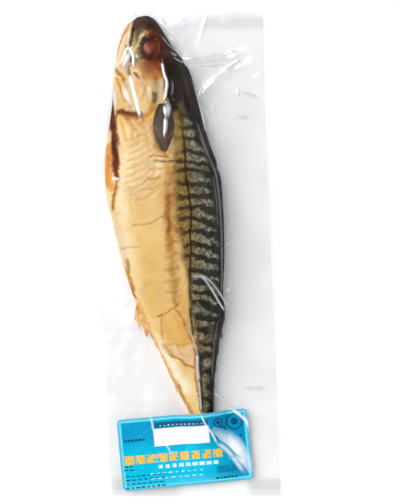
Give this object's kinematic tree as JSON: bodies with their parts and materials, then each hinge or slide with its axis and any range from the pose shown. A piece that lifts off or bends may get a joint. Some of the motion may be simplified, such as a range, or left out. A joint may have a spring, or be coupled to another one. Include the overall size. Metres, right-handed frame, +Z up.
{
  "type": "vacuum-packed smoked mackerel",
  "caption": "Whole hot-smoked mackerel lying on its side in a clear vacuum pouch, with a plain printed label over its tail.",
  "frame": {"origin": "middle of the pouch's footprint, on the surface that the pack rests on", "axes": "+Y towards the fish's head, +X towards the fish's back, +Z up, with the fish on its right flank"},
  "size_m": [0.1432, 0.35, 0.0356],
  "materials": {
    "packed_fish": "golden smoked fish skin under clear glossy film",
    "label_paper": "coated paper, printed in blue, white and yellow",
    "clear_film": "clear glossy vacuum film",
    "smoked_skin": "oily golden smoked skin, darker on the back",
    "smoked_fin": "dry dark smoked fin",
    "cooked_eye": "wet cooked eye"
  },
  "bodies": {
    "root": {"pouch": "packed_fish", "label": "label_paper"}
  },
  "joints": []
}
